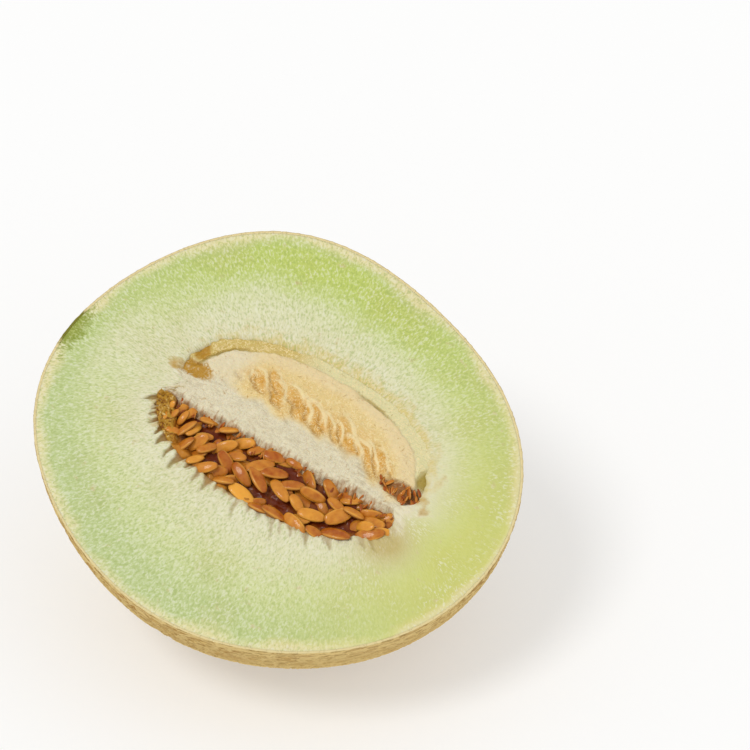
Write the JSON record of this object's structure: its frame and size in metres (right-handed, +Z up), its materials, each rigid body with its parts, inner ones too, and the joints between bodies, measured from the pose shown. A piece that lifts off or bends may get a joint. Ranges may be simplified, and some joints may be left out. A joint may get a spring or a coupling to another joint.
{
  "type": "hami melon",
  "caption": "Melon half cut lengthwise, lying on its netted rind: thick green flesh, a cream core and wet orange-brown seeds in the cavity.",
  "frame": {"origin": "centre of the small flat spot on the rind that the half rests on", "axes": "+Z up; the cut face leans 24 degrees towards -Y; +X is the blossom end's side, to the right as seen from -Y"},
  "size_m": [0.163, 0.1486, 0.1038],
  "materials": {
    "flesh": "moist cut melon flesh, green at the rim and paler inside",
    "rind": "dry corky net over tan skin",
    "placenta": "moist fibrous core, cream to white",
    "seeds": "wet glossy seed coats"
  },
  "bodies": {
    "root": {"melon_half": "flesh", "placenta": "placenta", "seeds": "seeds"}
  },
  "joints": []
}
